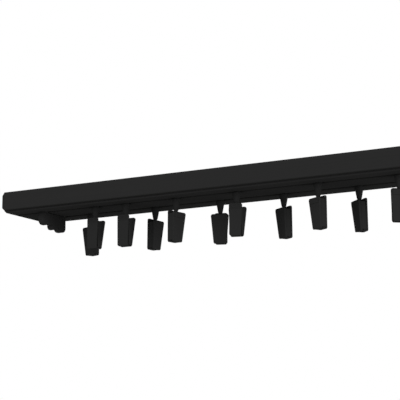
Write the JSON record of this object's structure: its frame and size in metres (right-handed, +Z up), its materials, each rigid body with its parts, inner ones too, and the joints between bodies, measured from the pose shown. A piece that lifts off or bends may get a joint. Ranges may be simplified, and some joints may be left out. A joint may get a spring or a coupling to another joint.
{
  "type": "double curtain track with clip gliders",
  "caption": "Ceiling curtain rail with two slots, each with sliding, swivelling clip gliders between end stops.",
  "frame": {"origin": "middle of the flat top face that lies against the ceiling, halfway along the rail", "axes": "+X along the rail to the right seen from the front, -Y towards the fascia side, +Z up"},
  "size_m": [0.442, 0.065, 0.0545],
  "materials": {
    "rail": "satin black extrusion",
    "moulding": "satin black moulding",
    "glider": "satin black acetal",
    "clip": "satin black moulding",
    "spring": "bright spring strip",
    "screw": "black steel"
  },
  "bodies": {
    "rail": {"rail_profile": "rail", "end_cap_left": "moulding", "end_cap_right": "moulding", "end_stop_left": "moulding", "end_stop_right": "moulding", "stop_screws": "screw"},
    "front_glider_1": {"front_glider_1": "glider"},
    "front_clip_1": {"front_clip_body_1": "clip", "front_clip_spring_1": "spring"},
    "front_lever_1": {"front_clip_lever_1": "clip"},
    "front_glider_2": {"front_glider_2": "glider"},
    "front_clip_2": {"front_clip_body_2": "clip", "front_clip_spring_2": "spring"},
    "front_lever_2": {"front_clip_lever_2": "clip"},
    "front_glider_3": {"front_glider_3": "glider"},
    "front_clip_3": {"front_clip_body_3": "clip", "front_clip_spring_3": "spring"},
    "front_lever_3": {"front_clip_lever_3": "clip"},
    "front_glider_4": {"front_glider_4": "glider"},
    "front_clip_4": {"front_clip_body_4": "clip", "front_clip_spring_4": "spring"},
    "front_lever_4": {"front_clip_lever_4": "clip"},
    "front_glider_5": {"front_glider_5": "glider"},
    "front_clip_5": {"front_clip_body_5": "clip", "front_clip_spring_5": "spring"},
    "front_lever_5": {"front_clip_lever_5": "clip"},
    "front_glider_6": {"front_glider_6": "glider"},
    "front_clip_6": {"front_clip_body_6": "clip", "front_clip_spring_6": "spring"},
    "front_lever_6": {"front_clip_lever_6": "clip"},
    "rear_glider_1": {"rear_glider_1": "glider"},
    "rear_clip_1": {"rear_clip_body_1": "clip", "rear_clip_spring_1": "spring"},
    "rear_lever_1": {"rear_clip_lever_1": "clip"},
    "rear_glider_2": {"rear_glider_2": "glider"},
    "rear_clip_2": {"rear_clip_body_2": "clip", "rear_clip_spring_2": "spring"},
    "rear_lever_2": {"rear_clip_lever_2": "clip"},
    "rear_glider_3": {"rear_glider_3": "glider"},
    "rear_clip_3": {"rear_clip_body_3": "clip", "rear_clip_spring_3": "spring"},
    "rear_lever_3": {"rear_clip_lever_3": "clip"},
    "rear_glider_4": {"rear_glider_4": "glider"},
    "rear_clip_4": {"rear_clip_body_4": "clip", "rear_clip_spring_4": "spring"},
    "rear_lever_4": {"rear_clip_lever_4": "clip"},
    "rear_glider_5": {"rear_glider_5": "glider"},
    "rear_clip_5": {"rear_clip_body_5": "clip", "rear_clip_spring_5": "spring"},
    "rear_lever_5": {"rear_clip_lever_5": "clip"}
  },
  "joints": [
    {"name": "front_glider_1_slide", "type": "slide", "parent": "rail", "child": "front_glider_1", "axis": [1, 0, 0], "range_m": [-0.0416, 0.0124]},
    {"name": "front_clip_1_swivel", "type": "hinge", "parent": "front_glider_1", "child": "front_clip_1", "pos_m": [-0.13388, -0.0135, -0.0296], "axis": [0, 0, 1], "continuous": true},
    {"name": "front_clip_1_jaw", "type": "hinge", "parent": "front_clip_1", "child": "front_lever_1", "pos_m": [-0.13391, -0.01398, -0.0346], "axis": [-0.9986, 0.0523, 0], "range_deg": [0, 5], "stiffness_Nm_per_rad": 0.02, "springref_deg": -22.92, "deforming": ["front_clip_spring_1"]},
    {"name": "front_glider_2_slide", "type": "slide", "parent": "rail", "child": "front_glider_2", "axis": [1, 0, 0], "range_m": [-0.0124, 0.0314]},
    {"name": "front_clip_2_swivel", "type": "hinge", "parent": "front_glider_2", "child": "front_clip_2", "pos_m": [-0.1033, -0.0135, -0.0296], "axis": [0, 0, 1], "continuous": true},
    {"name": "front_clip_2_jaw", "type": "hinge", "parent": "front_clip_2", "child": "front_lever_2", "pos_m": [-0.10329, -0.01398, -0.0346], "axis": [-0.9998, -0.0175, 0], "range_deg": [0, 5], "stiffness_Nm_per_rad": 0.02, "springref_deg": -22.92, "deforming": ["front_clip_spring_2"]},
    {"name": "front_glider_3_slide", "type": "slide", "parent": "rail", "child": "front_glider_3", "axis": [1, 0, 0], "range_m": [-0.0314, 0.0388]},
    {"name": "front_clip_3_swivel", "type": "hinge", "parent": "front_glider_3", "child": "front_clip_3", "pos_m": [-0.0537, -0.0135, -0.0296], "axis": [0, 0, 1], "continuous": true},
    {"name": "front_clip_3_jaw", "type": "hinge", "parent": "front_clip_3", "child": "front_lever_3", "pos_m": [-0.05418, -0.0134, -0.0346], "axis": [0.2079, 0.9781, 0], "range_deg": [0, 5], "stiffness_Nm_per_rad": 0.02, "springref_deg": -22.92, "deforming": ["front_clip_spring_3"]},
    {"name": "front_glider_4_slide", "type": "slide", "parent": "rail", "child": "front_glider_4", "axis": [1, 0, 0], "range_m": [-0.0388, 0.0547]},
    {"name": "front_clip_4_swivel", "type": "hinge", "parent": "front_glider_4", "child": "front_clip_4", "pos_m": [0.00331, -0.0135, -0.0296], "axis": [0, 0, 1], "continuous": true},
    {"name": "front_clip_4_jaw", "type": "hinge", "parent": "front_clip_4", "child": "front_lever_4", "pos_m": [0.00343, -0.01397, -0.0346], "axis": [-0.9703, -0.2419, 0], "range_deg": [0, 5], "stiffness_Nm_per_rad": 0.02, "springref_deg": -22.92, "deforming": ["front_clip_spring_4"]},
    {"name": "front_glider_5_slide", "type": "slide", "parent": "rail", "child": "front_glider_5", "axis": [1, 0, 0], "range_m": [-0.0547, 0.0502]},
    {"name": "front_clip_5_swivel", "type": "hinge", "parent": "front_glider_5", "child": "front_clip_5", "pos_m": [0.0762, -0.0135, -0.0296], "axis": [0, 0, 1], "continuous": true},
    {"name": "front_clip_5_jaw", "type": "hinge", "parent": "front_clip_5", "child": "front_lever_5", "pos_m": [0.07645, -0.01309, -0.0346], "axis": [0.8572, -0.515, 0], "range_deg": [0, 5], "stiffness_Nm_per_rad": 0.02, "springref_deg": -22.92, "deforming": ["front_clip_spring_5"]},
    {"name": "front_glider_6_slide", "type": "slide", "parent": "rail", "child": "front_glider_6", "axis": [1, 0, 0], "range_m": [-0.0502, 0.0309]},
    {"name": "front_clip_6_swivel", "type": "hinge", "parent": "front_glider_6", "child": "front_clip_6", "pos_m": [0.14458, -0.0135, -0.0296], "axis": [0, 0, 1], "continuous": true},
    {"name": "front_clip_6_jaw", "type": "hinge", "parent": "front_clip_6", "child": "front_lever_6", "pos_m": [0.14428, -0.01312, -0.0346], "axis": [0.788, 0.6157, 0], "range_deg": [0, 5], "stiffness_Nm_per_rad": 0.02, "springref_deg": -22.92, "deforming": ["front_clip_spring_6"]},
    {"name": "rear_glider_1_slide", "type": "slide", "parent": "rail", "child": "rear_glider_1", "axis": [1, 0, 0], "range_m": [-0.0192, 0.0476]},
    {"name": "rear_clip_1_swivel", "type": "hinge", "parent": "rear_glider_1", "child": "rear_clip_1", "pos_m": [-0.1562, 0.0135, -0.0296], "axis": [0, 0, 1], "continuous": true},
    {"name": "rear_clip_1_jaw", "type": "hinge", "parent": "rear_clip_1", "child": "rear_lever_1", "pos_m": [-0.15605, 0.01396, -0.0346], "axis": [0.9511, -0.309, 0], "range_deg": [0, 5], "stiffness_Nm_per_rad": 0.02, "springref_deg": -22.92, "deforming": ["rear_clip_spring_1"]},
    {"name": "rear_glider_2_slide", "type": "slide", "parent": "rail", "child": "rear_glider_2", "axis": [1, 0, 0], "range_m": [-0.0476, 0.0455]},
    {"name": "rear_clip_2_swivel", "type": "hinge", "parent": "rear_glider_2", "child": "rear_clip_2", "pos_m": [-0.09039, 0.0135, -0.0296], "axis": [0, 0, 1], "continuous": true},
    {"name": "rear_clip_2_jaw", "type": "hinge", "parent": "rear_clip_2", "child": "rear_lever_2", "pos_m": [-0.09087, 0.01352, -0.0346], "axis": [0.0349, 0.9994, 0], "range_deg": [0, 5], "stiffness_Nm_per_rad": 0.02, "springref_deg": -22.92, "deforming": ["rear_clip_spring_2"]},
    {"name": "rear_glider_3_slide", "type": "slide", "parent": "rail", "child": "rear_glider_3", "axis": [1, 0, 0], "range_m": [-0.0455, 0.0411]},
    {"name": "rear_clip_3_swivel", "type": "hinge", "parent": "rear_glider_3", "child": "rear_clip_3", "pos_m": [-0.0267, 0.0135, -0.0296], "axis": [0, 0, 1], "continuous": true},
    {"name": "rear_clip_3_jaw", "type": "hinge", "parent": "rear_clip_3", "child": "rear_lever_3", "pos_m": [-0.02686, 0.01395, -0.0346], "axis": [0.9397, 0.342, 0], "range_deg": [0, 5], "stiffness_Nm_per_rad": 0.02, "springref_deg": -22.92, "deforming": ["rear_clip_spring_3"]},
    {"name": "rear_glider_4_slide", "type": "slide", "parent": "rail", "child": "rear_glider_4", "axis": [1, 0, 0], "range_m": [-0.0411, 0.0488]},
    {"name": "rear_clip_4_swivel", "type": "hinge", "parent": "rear_glider_4", "child": "rear_clip_4", "pos_m": [0.03262, 0.0135, -0.0296], "axis": [0, 0, 1], "continuous": true},
    {"name": "rear_clip_4_jaw", "type": "hinge", "parent": "rear_clip_4", "child": "rear_lever_4", "pos_m": [0.03289, 0.0139, -0.0346], "axis": [0.829, -0.5592, 0], "range_deg": [0, 5], "stiffness_Nm_per_rad": 0.02, "springref_deg": -22.92, "deforming": ["rear_clip_spring_4"]},
    {"name": "rear_glider_5_slide", "type": "slide", "parent": "rail", "child": "rear_glider_5", "axis": [1, 0, 0], "range_m": [-0.0488, 0.0759]},
    {"name": "rear_clip_5_swivel", "type": "hinge", "parent": "rear_glider_5", "child": "rear_clip_5", "pos_m": [0.09958, 0.0135, -0.0296], "axis": [0, 0, 1], "continuous": true},
    {"name": "rear_clip_5_jaw", "type": "hinge", "parent": "rear_clip_5", "child": "rear_lever_5", "pos_m": [0.09991, 0.01385, -0.0346], "axis": [0.7314, -0.682, 0], "range_deg": [0, 5], "stiffness_Nm_per_rad": 0.02, "springref_deg": -22.92, "deforming": ["rear_clip_spring_5"]}
  ]
}
